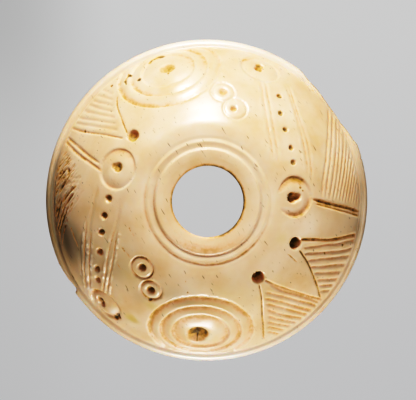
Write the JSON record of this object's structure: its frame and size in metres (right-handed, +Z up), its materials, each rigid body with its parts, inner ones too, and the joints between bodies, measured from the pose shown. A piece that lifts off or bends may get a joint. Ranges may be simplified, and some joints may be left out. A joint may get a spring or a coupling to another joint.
{
  "type": "spindle whorl",
  "caption": "Domed bone spindle whorl with a central spindle hole, stepped collar, rim band and cut ring-and-dot, dotted and hatched ornament.",
  "frame": {"origin": "middle of the flat underside, on the axis of the spindle hole", "axes": "+Z up along the spindle hole, out of the dome; +X and +Y are right and up in the picture"},
  "size_m": [0.036, 0.036, 0.012],
  "materials": {
    "bone": null
  },
  "bodies": {
    "root": {"whorl": "bone"}
  },
  "joints": []
}
